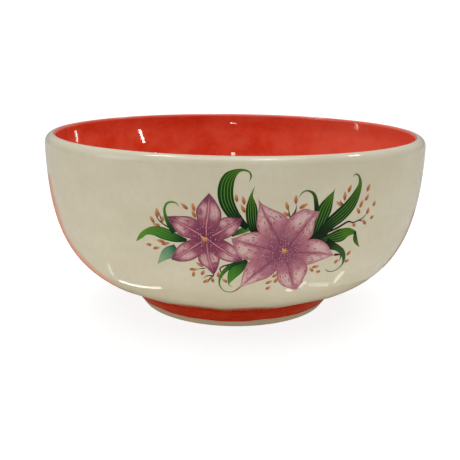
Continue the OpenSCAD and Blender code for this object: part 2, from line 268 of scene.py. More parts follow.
pressed = 0
back_rows = {(round(p.x, 2), round(p.y, 2)) for p in outside_back}
for vertex in ivory_skin.data.vertices:
    place = vertex.co / MM
    radius = math.hypot(place.x, place.y)
    if place.z > FACET_TOP or radius < FACET_IN:
        continue
    inward = SKIN_T if (round(radius, 2), round(place.z, 2)) in back_rows else 0.0
    depth = facet_depth(place, inward)
    out = Vector((place.x / radius, place.y / radius, 0))
    if place.z < FOOT_H + 0.001:
        moved = place - out * depth / math.sin(FACET_SLOPE)
    else:
        moved = place - depth * (out * math.sin(FACET_SLOPE) - Vector((0, 0, math.cos(FACET_SLOPE))))
    vertex.co = moved * MM
    pressed += depth > 0.05
print("vertices pressed in by more than 0.05 mm:", pressed)

# %% [markdown]
# ### The hand-drawn border on the rim
#
# Where the ivory meets the coral on the crest, the border wanders by a third of a millimetre,
# because the inside was poured by hand. Both skins end there, so both are shifted along the
# crest by the same slow wave and still meet exactly.

# %% Shift the rim border
WAVE_REACH = 3.0


def border_wave(turn):
    """How far the border wanders inwards at this angle, in millimetres."""
    return (0.14 * math.sin(3 * turn + 0.6) + 0.11 * math.sin(7 * turn + 2.1)
            + 0.08 * math.sin(13 * turn + 4.0) + 0.05 * math.sin(29 * turn + 1.2))


def shift_border(piece):
    """Moves the rows near the crest along the crest by the wave, fading out below it."""
    for vertex in piece.data.vertices:
        place = vertex.co / MM
        radius = math.hypot(place.x, place.y)
        away = math.hypot(radius - CREST_R, place.z - BOWL_H)
        if away < WAVE_REACH:
            share = (1 - away / WAVE_REACH) ** 2
            shift = border_wave(math.atan2(place.y, place.x)) * share
            vertex.co.x -= place.x / radius * shift * MM
            vertex.co.y -= place.y / radius * shift * MM


shift_border(ivory_skin)
smooth(ivory_skin)

# %% [markdown]
# ## The coral skin inside
#
# The coral glaze starts at the crest, runs over the inner lip, down the wall and across the
# floor to the middle, where the outline ends on the axis and the pole closes.

# %% Turn the coral skin
inside_wall = line(wall_curve, 72, WALL_T)[::-1]
inside_back = line(wall_curve, 48, WALL_T - SKIN_T)[::-1]
front_row = line(lip_curve, 12) + inside_wall[1:] + line(floor_curve, 26)[1:]
back_row = line(lip_curve, 6, SKIN_T) + inside_back[1:] + line(floor_curve, 18, SKIN_T)[1:]
coral_skin = turned("coral_glaze_skin", front_row + back_row[::-1])
shift_border(coral_skin)
smooth(coral_skin)

# %% [markdown]
# ## The foot
#
# The foot ring was cut with a turning tool and its lowest edge was wiped clean, because a
# glazed foot would stick to the kiln shelf. So three finishes meet here: the bare ring, the
# coral band with a thick rolled hem above the bare edge, and the glaze in the hollow.

# %% Turn the bare foot ring
RING_INSIDE_Z = 5
BARE_CHAMFER = 0.3
FLARE = (FOOT_R - FOOT_BASE_R) / FOOT_H
foot_corner_out = Vector((FOOT_BASE_R, 0))
foot_corner_in = Vector((WELL_R, 0))
side_top = Vector((FOOT_R - BAND_T, FOOT_H))
side_step = Vector((FOOT_BASE_R + FLARE * BARE_H - BAND_T, BARE_H))
side_low = Vector((FOOT_BASE_R + FLARE * (BARE_H - BARE_CHAMFER), BARE_H - BARE_CHAMFER))
ring_inside = Vector((WELL_R, RING_INSIDE_Z))
ring_outline = (rounded(foot_corner_in, ring_inside, foot_corner_out, FOOT_ROUND)
                + rounded(foot_corner_out, foot_corner_in, side_low, FOOT_ROUND)
                + [side_low.lerp(foot_corner_out, 0.4), side_low, side_step, side_top,
                   Vector((WELL_R, FOOT_H)), ring_inside, ring_inside / 2 + foot_corner_in / 2])
foot_ring = turned("bare_foot_ring", ring_outline)

# %% [markdown]
# ### Taking the foot in
#
# The facets cut a little way in at the hem, so the top of the foot is taken in with them.
# Without this, the foot would show as a narrow ledge under the middle of each facet.

# %% Press the foot in under the facets
PRESS_REACH = 3.0


def press_foot(piece):
    """Takes the top of the foot in with the facets above it, fading out further down."""
    for vertex in piece.data.vertices:
        place = vertex.co / MM
        radius = math.hypot(place.x, place.y)
        if radius > FACET_IN and place.z > FOOT_H - PRESS_REACH:
            out = Vector((place.x / radius, place.y / radius, 0))
            top = out * FOOT_R + Vector((0, 0, FOOT_H))
            share = (1 - (FOOT_H - place.z) / PRESS_REACH) ** 2
            vertex.co -= out * facet_depth(top, 0.0) / math.sin(FACET_SLOPE) * share * MM


press_foot(foot_ring)
smooth(foot_ring)

# %% Turn the coral band over the foot
BAND_STEPS = 13
BAND_DEEP = 3.2
BAND_SUNK = 0.3
band_hem = Vector((FOOT_BASE_R + FLARE * BARE_H, BARE_H))
band_top = Vector((FOOT_R, FOOT_H + 0.03))
band_side = []
for i in range(1, BAND_STEPS):
    share = i / BAND_STEPS
    swell = 0.07 * math.exp(-((share - 0.06) / 0.05) ** 2) - 0.05 * math.sin(math.pi * share)
    band_side.append(band_hem.lerp(band_top, share) + Vector((swell, 0)))
band_outline = ([band_hem + Vector((-BAND_T, 0.0)), band_hem + Vector((-0.08, 0.02))]
                + band_side
                + rounded(band_top, band_side[-1], band_top - Vector((3, 0)), 0.08, 3)
                + [band_top - Vector((BAND_DEEP, 0)), Vector((FOOT_R - BAND_DEEP, FOOT_H - BAND_SUNK)),
                   Vector((FOOT_R - 0.4, FOOT_H - BAND_SUNK))])
coral_band = turned("coral_foot_band", band_outline)
for vertex in coral_band.data.vertices:
    place = vertex.co / MM
    fade = max(0.0, 1 - (place.z - BARE_H) / 1.6)
    turn = math.atan2(place.y, place.x)
    wander = 0.12 * math.sin(5 * turn + 1) + 0.08 * math.sin(11 * turn + 3) + 0.05 * math.sin(23 * turn)
    vertex.co.z += fade * (0.14 + wander) * MM
press_foot(coral_band)
smooth(coral_band)

# %% Turn the glazed hollow under the bowl
CEILING_STEPS = 45
well_ceiling = WELL_H - BAND_T
well_side = WELL_R - BAND_T
ceiling = []
for i in range(CEILING_STEPS + 1):
    radius = i * (well_side - 1.6) / CEILING_STEPS
    ripple = 0.035 * math.cos(radius * math.tau / 4.1) * min(1.0, radius / 6)
    ceiling.append(Vector((radius, well_ceiling + ripple)))
cove = rounded(Vector((well_side, well_ceiling)), ceiling[-1], Vector((well_side, WELL_LOW)), 1.5, 6)
well_outline = (ceiling + cove
                + rounded(Vector((well_side, WELL_LOW)), cove[-1], Vector((WELL_R, WELL_LOW)), 0.12, 2)
                + [Vector((WELL_R - 0.01, WELL_LOW)), Vector((WELL_R - 0.01, WELL_H)),
                   Vector((0, WELL_H))])
well_skin = turned("hollow_glaze_skin", well_outline)
smooth(well_skin)

# %% [markdown]
# ## Wrapping the painting on the wall
#
# The flower print was made flat, as a transfer sheet, and then laid on the round wall. The
# same order works here: each brush stroke is drawn flat, as it is seen from the front, and
# every point is then laid on the wall at its own height and lifted by its layer of enamel.

# %% Find the wall behind a flat point
def on_wall(x, z, lift):
    """The point on the front of the bowl behind (x, z), lifted off the wall, in millimetres."""
    low, high = 0.0, 1.0
    for _ in range(26):
        middle = (low + high) / 2
        if bezier(wall_curve, middle)[0].y < z:
            low = middle
        else:
            high = middle
    place, way = bezier(wall_curve, low)
    y = -math.sqrt(max(place.x ** 2 - x ** 2, 0.0))
    out = Vector((way.y * x / place.x, way.y * y / place.x, -way.x))
    return Vector((x, y, place.y)) + lift * out


print("front of the wall at half height", tuple(round(v, 2) for v in on_wall(0, BOWL_H / 2, 0)))

# %% [markdown]
# ### One brush stroke
#
# A petal, a leaf and a twig are all the same thing to a painter: a stroke that starts narrow,
# swells and ends in a point. A grid is laid along the line of the stroke and squeezed to its
# width. The grid brings its own UV map, u across and v from root to tip, which the enamel
# uses for veins and shading. Solidify then gives the stroke its thickness down to the glaze.
#
# The line of a stroke has a knot wherever the brush turns or presses: x, z and half the
# width, or both half widths, left and right of the line, where these differ.

# %% The stroke helper
def curve4(a, b, c, d, t):
    """A smooth value between b and c, from four neighbours."""
    return b + 0.5 * t * ((c - a) + t * ((2 * a - 5 * b + 4 * c - d) + t * (3 * (b - c) + d - a)))


def along(knots, share):
    """[x, z, left, right] on a stroke, at a share of its way from root to tip."""
    reach = min(max(share, 0.0), 1.0) * (len(knots) - 1)
    i = min(int(reach), len(knots) - 2)
    rows = (knots[max(i - 1, 0)], knots[i], knots[i + 1], knots[min(i + 2, len(knots) - 1)])
    return [curve4(*column, reach - i) for column in zip(*rows)]


STROKE_MERGE = 0.004 * MM
SINK = 0.02


def merge_tips():
    """Merges the vertices of the active piece that meet in a point."""
    bpy.ops.object.mode_set(mode="EDIT")
    bpy.ops.mesh.select_all(action="SELECT")
    bpy.ops.mesh.remove_doubles(threshold=STROKE_MERGE)
    bpy.ops.object.mode_set(mode="OBJECT")


def thicken(piece, lift):
    """Gives the active piece its thickness, from its face down into the glaze."""
    bpy.ops.object.modifier_add(type="SOLIDIFY")
    piece.modifiers[-1].thickness = (lift + SINK) * MM
    piece.modifiers[-1].offset = -1
    bpy.ops.object.modifier_apply(modifier=piece.modifiers[-1].name)


def stroke(name, knots, columns, lift, rows_per_knot=7, crown=0.0):
    """A closed enamel stroke on the wall, along its knots."""
    knots = [knot[:3] + knot[-1:] for knot in knots]
    bpy.ops.object.select_all(action="DESELECT")
    rows = rows_per_knot * (len(knots) - 1)
    bpy.ops.mesh.primitive_grid_add(x_subdivisions=columns, y_subdivisions=rows, size=2)
    piece = bpy.context.object
    piece.name = name
    for vertex in piece.data.vertices:
        across, share = vertex.co.x, (vertex.co.y + 1) / 2
        x, z, left, right = along(knots, share)
        x0, z0 = along(knots, share - 0.01)[:2]
        x1, z1 = along(knots, share + 0.01)[:2]
        way = Vector((x1 - x0, z1 - z0)).normalized()
        width = max(left, 0.0) if across < 0 else max(right, 0.0)
        side = across * width
        bulge = crown * (1 - across ** 2) * min(1.0, width)
        vertex.co = on_wall(x + side * way.y, z - side * way.x, lift + bulge) * MM
    merge_tips()
    thicken(piece, lift)
    smooth(piece, 50)
    return piece


def joined(name, parts):
    """Joins parts into one piece with one mesh."""
    bpy.ops.object.select_all(action="DESELECT")
    for part in parts:
        part.select_set(True)
    bpy.context.view_layer.objects.active = parts[0]
    bpy.ops.object.join()
    parts[0].name = name
    return parts[0]


print("a stroke of five knots has", 7 * 4, "rows")

# %% [markdown]
# ## The left lily
#
# Six petals spring from one heart. Each is a stroke with its own width to the left and the
# right of its vein, because petals seen aslant are lopsided. Each petal lies a hair above the
# one before it, as the printed colours do, so that the overlaps are always clean.

# %% Paint the petals of the left lily
LEFT_MIDDLE = [-10.5, 52.5, 1.5]
LEFT_LILY = [
    [LEFT_MIDDLE, [-15, 55.2, 3.6, 4.3], [-19, 57.3, 4.3, 4.2], [-22.5, 59.2, 2.6, 1.9],
     [-25.5, 60.5, 0]],
    [LEFT_MIDDLE, [-6, 55, 4, 3.4], [-2.3, 57.6, 4, 3.8], [0.6, 59.3, 2.3], [3, 61, 0]],
    [LEFT_MIDDLE, [-10.2, 48.2, 3, 2.4], [-9.6, 44, 4.3, 4.2], [-8.6, 40.2, 2.8, 1.9], [-7.7, 36.5, 0]],
    [LEFT_MIDDLE, [-14.5, 49.5, 4, 3], [-18.5, 46.4, 4.2, 3.6], [-21.8, 44, 2.6, 2.2],
     [-24.5, 42.5, 0]],
    [LEFT_MIDDLE, [-6, 49.3, 3.5, 3.8], [-2, 46.5, 3.6], [1, 44.8, 2.3], [3.5, 43.5, 0]],
    [LEFT_MIDDLE, [-10.5, 58, 3.2, 4.4], [-9.8, 63, 4.6, 5], [-9.5, 67, 2.9, 2.8], [-9.5, 70.5, 0]]]
LEAF_LIFT = 0.030
PETAL_LIFT = 0.052
LAYER = 0.004
CROWN = 0.012
left_petals = [stroke(f"left_lily_petal_{i + 1}", knots, 22, PETAL_LIFT + i * LAYER, crown=CROWN)
               for i, knots in enumerate(LEFT_LILY)]
print(len(left_petals), "petals, the first with", len(left_petals[0].data.polygons), "faces")

# %% [markdown]
# ## The right lily
#
# The second lily is larger and its petals end in thin whips. It lies over the left one.

# %% Paint the petals of the right lily
RIGHT_MIDDLE = [19.3, 47.2, 1]
RIGHT_LILY = [
    [RIGHT_MIDDLE, [16.5, 53, 4, 6.4], [13.4, 58.7, 5.2, 6.5], [11.2, 63, 2.9, 3.3], [9.7, 66.4, 0.6],
     [8.6, 68.8, 0]],
    [RIGHT_MIDDLE, [24.5, 46.4, 3.8, 4.6], [30, 45.6, 6, 5.4], [35, 44.6, 4.6, 2.9], [39, 43.6, 0.5],
     [40.5, 43.3, 0]],
    [RIGHT_MIDDLE, [14.5, 43, 4.4, 3.4], [9.8, 38.9, 5, 5.6], [6.2, 35, 2.6, 3.4], [3.2, 31.6, 0.6],
     [1.4, 29.6, 0.3], [-0.6, 28.2, 0]],
    [RIGHT_MIDDLE, [22.8, 51.5, 4.6, 3.6], [26, 55.9, 6.9, 5], [29.1, 59.8, 5.6, 2.4],
     [31, 61.4, 2.4, 1.2], [32.5, 62.7, 0]],
    [RIGHT_MIDDLE, [13, 48.6, 4.4, 3.6], [7.5, 50, 6.6, 5.6], [3.5, 51.3, 6, 3.9],
     [0.8, 52.1, 2.8, 1.4], [-1, 52.7, 0]],
    [[19.3, 47.2, 1.2], [20.8, 42.2, 5.5, 4.2], [22.3, 37, 7.2, 5.4], [23.4, 32.8, 4.8, 4.6],
     [24.4, 29.9, 3.2, 1.8], [25.5, 28.1, 0]]]
RIGHT_LIFT = PETAL_LIFT + 6 * LAYER
right_petals = [stroke(f"right_lily_petal_{i + 1}", knots, 26, RIGHT_LIFT + i * LAYER, crown=CROWN)
                for i, knots in enumerate(RIGHT_LILY)]
print(len(right_petals), "petals")

# %% [markdown]
# ## The hearts of the lilies
#
# Each heart is a small star of ochre enamel. It starts as a filled circle, a fan of
# triangles. The points between its rays are drawn in, each ray gets a length of its own, and
# the star is laid on the wall as the petals are.

# %% Paint the two hearts
HEART_CROWN = 0.02


def heart(name, x, z, reach, rays, lift):
    """A small enamel star with uneven rays."""
    bpy.ops.object.select_all(action="DESELECT")
    bpy.ops.mesh.primitive_circle_add(vertices=rays * 4, radius=1, fill_type="TRIFAN")
    piece = bpy.context.object
    piece.name = name
    draw = random.Random(rays)
    lengths = [draw.uniform(0.75, 1.1) for _ in range(rays)]
    for vertex in piece.data.vertices:
        turn = math.atan2(vertex.co.y, vertex.co.x) % math.tau
        share = turn / math.tau * rays
        ray = round(share) % rays
        off = abs(share - round(share)) * 2
        length = vertex.co.length * reach * lengths[ray] * (1 - 0.55 * off ** 0.6)
        flat = Vector((math.cos(turn + 0.3), math.sin(turn + 0.3))) * length
        vertex.co = on_wall(x + flat.x, z + flat.y, lift + HEART_CROWN * (1 - vertex.co.length)) * MM
    thicken(piece, lift)
    return piece


left_heart = heart("left_lily_heart", -10.7, 52.3, 2.6, 8, RIGHT_LIFT)
right_heart = heart("right_lily_heart", 19.5, 47.0, 2.1, 7, RIGHT_LIFT + 7 * LAYER)
print("hearts", len(left_heart.data.polygons), len(right_heart.data.polygons), "faces")

# %% [markdown]
# ## The leaves
#
# The leaves lie under both lilies. Many end in a curl, which needs only more knots on the
# same stroke, with its width dying away.

# %% Paint the leaves
LEAVES = [
    [[-1, 54, 0.6], [3, 56, 1.1], [7, 57, 0.6]],
    [[5, 57, 1], [0, 62, 2.2], [-2.8, 67, 2.8], [-3.4, 72, 2.9], [-2, 76.5, 2.3], [1.5, 79.2, 0.7],
     [4.8, 79, 0.3], [6, 77.2, 0.3], [5.2, 74.7, 0]],
    [[8, 55, 1.5], [6.7, 60, 2.1], [6.4, 65, 2.1], [6.2, 69, 0.8], [6.6, 71, 0.3], [7.5, 73.5, 0]],
    [[31.8, 60.5, 1.1], [30.9, 67, 0.8], [30, 69.6, 0.6], [28.5, 70.8, 0.4], [26.8, 71.1, 0.25],
     [25.3, 70.3, 0.2], [24, 68.4, 0]],
    [[29.8, 49.6, 1.8], [32.6, 57.6, 2.5], [34.6, 63.5, 2.7, 2.9], [36.5, 67.4, 1.5], [37.8, 70, 0.3],
     [38.5, 71.5, 0]],
    [[31, 49.8, 1.8], [36.8, 56.8, 2.4], [41, 60.2, 2.8], [45, 64, 2.5], [47.6, 68.5, 1.6],
     [48.8, 72, 0.8], [48.3, 75, 0.4], [46.8, 76.2, 0.25], [45.4, 75.2, 0]],
    [[31, 49.6, 1.2], [37.5, 51.2, 1.9], [41.5, 51.9, 2.7, 3], [45, 52.8, 1.8, 2], [48.4, 52.2, 0.6]],
    [[48.2, 52.6, 0.4], [48.5, 49.5, 0.9], [49.4, 47.2, 0.7], [51, 45, 0]],
    [[36, 50, 1.6], [38.6, 47.8, 1.7], [41, 46.4, 1.3], [43.3, 44.2, 1.1], [44.4, 41, 0.7],
     [44, 38.2, 0.3], [42.2, 36.3, 0.2], [39.9, 35.5, 0.2], [37.9, 36, 0.2], [36.7, 37.2, 0]],
    [[-18, 51.2, 0.6], [-22.5, 52, 1.9], [-27, 53.3, 2.5], [-31, 54, 1.9], [-34.4, 53, 1.1],
     [-36.5, 51, 0.9], [-38.5, 48.5, 0]],
    [[-22, 47.5, 2], [-25.5, 45.2, 2.4], [-28, 42.5, 1.3], [-30.2, 39.5, 0]],
    [[-23, 54, 1], [-25.2, 57.9, 0.8], [-26.3, 61, 0.6], [-26.5, 63.5, 0.45], [-25.6, 65.5, 0.4],
     [-24, 66.3, 0.35], [-22, 66, 0.25], [-20.8, 64.5, 0]],
    [[5, 43.6, 0.8], [2.2, 40.5, 2.2], [-0.2, 37.4, 2.1], [-1.8, 33, 0.4], [-1.3, 31.5, 0.15],
     [-0.2, 31, 0]],
    [[3, 43, 0.8], [-0.5, 41.5, 0.9], [-3, 39.2, 0.9], [-4.9, 36.3, 0.6], [-5.6, 33.3, 0.35],
     [-5.1, 30.8, 0.25], [-3.6, 28.8, 0.2], [-1.3, 28.2, 0.2], [0.8, 29, 0.2], [2.4, 30.8, 0]]]
LEAF_LAYER = 0.0014
leaves = [stroke(f"leaf_{i + 1:02d}", knots, 14, LEAF_LIFT + i * LEAF_LAYER, 8)
          for i, knots in enumerate(LEAVES)]
print(len(leaves), "leaves,", sum(len(leaf.data.polygons) for leaf in leaves), "faces")

# %% [markdown]
# ## The twigs
#
# Twigs are hair-thin strokes. They are drawn one by one and joined into one piece. Three of
# them were printed over the leaves, so these lie higher.

# %% Paint the twigs
TWIGS = [
    [[-24, 55.5, 0.3], [-27.2, 57.3, 0.25], [-29.2, 59.1, 0.2], [-30.6, 61.8, 0]],
    [[-27.7, 57.7, 0.2], [-28.2, 60, 0.2], [-29.4, 63.3, 0]],
    [[-7.7, 36.6, 0.3], [-9.5, 34.4, 0.25], [-10.4, 32.2, 0]],
    [[-8.4, 36.3, 0.25], [-10.4, 36, 0.2], [-12.2, 34.6, 0]],
    [[-11, 39.6, 0.2], [-12.5, 39.4, 0.2], [-14.4, 38.8, 0]],
    [[0, 42, 0.3], [-3.9, 40.9, 0.3], [-5.3, 39.4, 0.25], [-4.6, 37.5, 0.2], [-4.4, 34.6, 0]],
    [[20.2, 59, 0.5], [21.6, 61.2, 0.35], [23.1, 63.4, 0.3], [23.4, 66.2, 0]],
    [[21.2, 60.8, 0.25], [20.6, 63, 0.2], [20.3, 65, 0]],
    [[32, 52.4, 0.35], [39.9, 55, 0.4], [44.5, 57.2, 0.35], [46.9, 56.6, 0.25], [49.5, 57.2, 0.25],
     [51.5, 58.2, 0.2], [53, 60, 0]],
    [[49.5, 57.2, 0.2], [50.3, 56.8, 0.2], [51.4, 56.5, 0]],
    [[42.1, 64.6, 0.2], [41.3, 65.4, 0.2], [40.8, 66.8, 0]],
    [[42.9, 43, 0.25], [42.8, 41.4, 0.2], [42.2, 39.8, 0]],
    [[40, 43.4, 0.5], [41.6, 43.3, 0.45], [43.2, 43.1, 0.1]]]
TWIG_LIFT = LEAF_LIFT - 0.008
OVER_LEAVES = (8, 9, 12)
OVER_LIFT = LEAF_LIFT + (len(LEAVES) + 1) * LEAF_LAYER
twigs = joined("twigs", [stroke(f"twig_{i}", knots, 4, OVER_LIFT if i in OVER_LEAVES else TWIG_LIFT, 6)
                         for i, knots in enumerate(TWIGS)])
print("twigs", len(twigs.data.polygons), "faces")

# %% [markdown]
# ## The buds
#
# One bud is modelled as a small pointed blade. The buds are copies of it with their own
# meshes, each stretched, turned and laid on the wall, and each row of the list is x, z, the
# turn in degrees and the length. The blade has only a few dozen faces, because there are so
# many copies.

# %% Paint one bud and copy it
BUD_W = 1.35
BUD_STRETCH = 1.22
BUDS = [
    [-29.5, 61.6, 5, 3.4], [-31.5, 58.6, 30, 2.8], [-27.4, 59.2, -10, 2.2], [-29.8, 56.6, 75, 2.6],
    [-18.8, 64.9, 50, 3], [-15.4, 64.8, 15, 2.9], [-15.3, 62.1, 25, 2.8],
    [-33.3, 47.9, 85, 2], [-30.2, 46.8, -75, 2.4], [-28.4, 50, 80, 3], [-26.4, 49.1, -75, 3],
    [-13.2, 41.1, 60, 2.8], [-15.6, 38.7, -88, 3], [-15.7, 36.6, -10, 2.3], [-12, 37.5, -25, 2.3],
    [-10.9, 33.5, -50, 2.4], [-8.3, 34.3, 15, 2.4], [-5.9, 36.9, -10, 2.3], [-3.4, 34, 50, 2.2],
    [0.7, 68.8, 10, 2.7], [3.4, 67.9, 12, 2.9], [3.2, 64.7, 25, 3],
    [19.8, 65.5, 15, 2.9], [23.1, 67.9, 0, 3], [26.2, 65.2, -62, 3.2], [19.6, 62.3, 55, 2.7],
    [51.9, 56, 35, 2.4], [47.3, 55.6, 40, 1.8], [53.2, 60.6, -15, 2.4], [55.4, 57.5, -60, 1.7],
    [48.9, 61.2, 25, 2.4], [50, 63.9, -20, 2.9], [42.6, 67.9, 0, 3.2], [40.5, 65.1, 55, 2.7],
    [44.5, 70.7, -20, 2.8], [52.7, 70.2, -20, 2.8], [52.3, 66.2, -30, 2.4], [55.9, 63.2, -20, 2],
    [46.4, 43.2, -40, 2.2], [46, 39.6, -60, 1.8], [41.2, 40.2, -40, 2],
    [32.5, 38.9, -85, 2.6], [30.9, 37.7, 40, 2.2], [33.7, 36.4, 85, 1.8],
    [16.3, 36.3, -50, 2.3], [14, 33.1, -60, 2.6], [16.9, 34, -30, 2.6], [13.8, 30.1, -60, 2]]
BUD_LIFT = LEAF_LIFT - 0.004
bpy.ops.object.select_all(action="DESELECT")
bpy.ops.mesh.primitive_grid_add(x_subdivisions=4, y_subdivisions=8, size=2)
blade = bpy.context.object
for vertex in blade.data.vertices:
    share = (vertex.co.y + 1) / 2
    width = math.sin(math.pi * share ** 0.85) ** 0.8 if 0 < share < 1 else 0.0
    vertex.co.x = vertex.co.x * width / 2
    vertex.co.y = vertex.co.y / 2
buds = []
for x, z, turn, length in BUDS:
    bud = blade.copy()
    bud.data = blade.data.copy()
    bpy.context.scene.collection.objects.link(bud)
    lean = math.radians(turn)
    for vertex in bud.data.vertices:
        across, up = vertex.co.x * BUD_W, vertex.co.y * length * BUD_STRETCH
        vertex.co = on_wall(x + across * math.cos(lean) - up * math.sin(lean),
                            z + across * math.sin(lean) + up * math.cos(lean), BUD_LIFT) * MM
    buds.append(bud)
bpy.data.objects.remove(blade)
buds = joined("buds", buds)
merge_tips()
thicken(buds, BUD_LIFT)
smooth(buds, 50)
print(len(BUDS), "buds,", len(buds.data.polygons), "faces")

# %% [markdown]
# ## Writing materials as sums
#
# A material is a set of masks and colours. Wiring each Math node by hand is slow to read, so
# a number socket is wrapped in a small class: a sum written in Python adds its Math nodes.
# Colours go through Mix nodes, because a Math node would turn them grey. A coat is then a list
# of washes laid one over another, each a mask and a colour, as a potter would brush them on.

# %% A socket that can be used in a sum
class Wire:
    """One output socket. A sum written with it adds a Math node for each operation."""

    def __init__(self, paint, socket):
        self.paint = paint
        self.socket = socket

    def sum(self, operation, first, second):
        """A Math node on two values, as a new Wire."""
        return self.paint.node("ShaderNodeMath", {"operation": operation}, {0: first, 1: second})[0]

    def __add__(self, other):
        return self.sum("ADD", self, other)

    def __radd__(self, other):
        return self.sum("ADD", other, self)

    def __sub__(self, other):
        return self.sum("SUBTRACT", self, other)

    def __rsub__(self, other):
        return self.sum("SUBTRACT", other, self)

    def __mul__(self, other):
        return self.sum("MULTIPLY", self, other)

    def __rmul__(self, other):
        return self.sum("MULTIPLY", other, self)

    def __truediv__(self, other):
        return self.sum("DIVIDE", self, other)

    def __abs__(self):
        return self.sum("ABSOLUTE", self, 0.0)


class Outputs:
    """The outputs of a node, each as a Wire."""

    def __init__(self, paint, made):
        self.paint = paint
        self.made = made

    def __getitem__(self, key):
        return Wire(self.paint, self.made.outputs[key])


# %% A material under construction
def tone(red, green, blue):
    """A colour given as screen values from 0 to 255."""
    values = [v / 255 for v in (red, green, blue)]
    return tuple(v / 12.92 if v <= 0.04045 else ((v + 0.055) / 1.055) ** 2.4 for v in values) + (1.0,)


class Paint:
    """A material, or the world, and short ways to add nodes to it."""

    def __init__(self, name, kind="materials"):
        self.owner = getattr(bpy.data, kind).new(name)
        self.owner.use_nodes = True
        self.tree = self.owner.node_tree
        self.tree.nodes.clear()

    def node(self, kind, settings=None, values=None):
        """Adds a node, sets its settings, then its sockets to values or links."""
        made = self.tree.nodes.new(kind)
        for key, value in (settings or {}).items():
            if key == "stops":
                for element, (position, colour) in zip(made.color_ramp.elements, value):
                    element.position = position
                    element.color = colour
            else:
                setattr(made, key, value)
        for key, value in (values or {}).items():
            if isinstance(value, Wire):
                self.tree.links.new(value.socket, made.inputs[key])
            else:
                made.inputs[key].default_value = value
        return Outputs(self, made)

    def place(self):
        """The point on the object, in millimetres."""
        spot = self.node("ShaderNodeTexCoord")["Object"]
        return self.node("ShaderNodeMapping", None, {"Vector": spot, "Scale": (1000, 1000, 1000)})[0]

    def across(self):
        """u across a stroke, v from its root to its tip, and how far from its middle line."""
        u, v, _ = self.parts(self.node("ShaderNodeUVMap")["UV"])
        return u, v, abs(u * 2.0 - 1.0)

    def parts(self, vector):
        """The x, y and z of a vector."""
        split = self.node("ShaderNodeSeparateXYZ", None, {0: vector})
        return split[0], split[1], split[2]

    def joined(self, x, y, z):
        """A vector from three numbers."""
        return self.node("ShaderNodeCombineXYZ", None, {0: x, 1: y, 2: z})[0]

    def clouds(self, vector, scale, detail=3.0, roughness=0.5):
        """Soft noise from 0 to 1, its scale in cells per unit of the vector."""
        return self.node("ShaderNodeTexNoise", None, {"Vector": vector, "Scale": scale, "Detail": detail,
                                                      "Roughness": roughness})["Fac"]

    def specks(self, vector, scale, size, chance, flat=False):
        """Soft dots round scattered points: size fades their edge, chance leaves most out."""
        settings = {"feature": "F1", "voronoi_dimensions": "2D" if flat else "3D"}
        cells = self.node("ShaderNodeTexVoronoi", settings, {"Vector": vector, "Scale": scale})
        return self.step(cells["Distance"], *size) * self.step(self.parts(cells["Color"])[0], *chance)

    def step(self, value, low, high):
        """A soft step from 0 to 1 as the value goes from low to high."""
        return self.node("ShaderNodeMapRange", {"interpolation_type": "SMOOTHSTEP", "clamp": True},
                         {0: value, 1: low, 2: high})[0]

    def mix(self, share, first, second):
        """A colour between two colours."""
        return self.node("ShaderNodeMix", {"data_type": "RGBA"}, {0: share, 6: first, 7: second})[2]

    def washes(self, colour, *layers):
        """Lays one wash after another over a colour, each a mask and its own colour."""
        for mask, wash in layers:
            colour = self.mix(mask, colour, wash)
        return colour

    def bump(self, height, distance, strength=1.0, under=None):
        """A normal from a height, in metres of distance."""
        values = {"Height": height, "Distance": distance, "Strength": strength}
        if under is not None:
            values["Normal"] = under
        return self.node("ShaderNodeBump", None, values)["Normal"]

    def finish(self, colour, roughness, values):
        """Closes the material with a Principled shader."""
        values = {"Base Color": colour, "Roughness": roughness, "IOR": 1.5, **values}
        shader = self.node("ShaderNodeBsdfPrincipled", None, values)
        self.node("ShaderNodeOutputMaterial", None, {"Surface": shader["BSDF"]})
        return self.owner


def coat(piece, material):
    """Gives a piece one material."""
    piece.data.materials.clear()
    piece.data.materials.append(material)


print("screen white in linear light", tone(255, 255, 255))

# %% [markdown]
# ## Glazes
#
# A glaze is glass over clay. Its colour varies softly where the layer is thicker or thinner,
# it breaks lighter over an edge, and its surface is never quite flat, which shows as a slight
# wobble in reflections. Marks left by the wheel run round the pot, so their noise is read at
# the direction from the axis and at the height, and not at the angle, which would leave a seam.

# %% Coordinates that follow the wheel
def wheel_place(paint, round_scale, up_scale):
    """A noise vector that is stretched round the pot."""
    x, y, z = paint.parts(paint.place())
    level = paint.joined(x, y, 0.0)
    radius = paint.node("ShaderNodeVectorMath", {"operation": "LENGTH"}, {0: level})["Value"]
    near = radius + 0.5
    up = (z + radius * 0.9) * up_scale
    return paint.joined(x / near * round_scale, y / near * round_scale, up)


# %% The ivory glaze
def ivory_glaze():
    """Warm white glass with a few iron specks, with painted shade towards the foot and on the lip."""
    paint = Paint("ivory_glaze")
    place = paint.place()
    z = paint.parts(place)[2]
    broad = paint.clouds(wheel_place(paint, 3.0, 0.06), 1.0, 2.0)
    fine = paint.clouds(place, 0.35, 4.0, 0.6)
    colour = paint.washes(
        tone(207, 198, 172),
        (paint.step(broad, 0.3, 0.7), tone(213, 205, 181)),
        (paint.step(fine, 0.35, 0.75) * 0.25, tone(196, 186, 160)),
        # Painted shade: darker and browner towards the foot, where the belly turns under.
        (paint.step(z, 22.0, 10.2) * 0.9, tone(130, 115, 82)),
        # Painted shade: the lip is darker, to tone down the overhead light that falls on it.
        (paint.step(z, 80.5, 83.8) * 0.5, tone(188, 181, 160)),
        (paint.specks(place, 0.16, (0.05, 0.025), (0.80, 0.82)) * 0.35, tone(120, 100, 75)))
    wobble = paint.bump(paint.clouds(place, 0.09, 1.0), 0.00012, 0.35)
    peel = paint.bump(paint.clouds(place, 0.9, 2.0), 0.000010, 0.4, wobble)
    return paint.finish(colour, fine * 0.06 + 0.07, {"Normal": peel})


coat(ivory_skin, ivory_glaze())


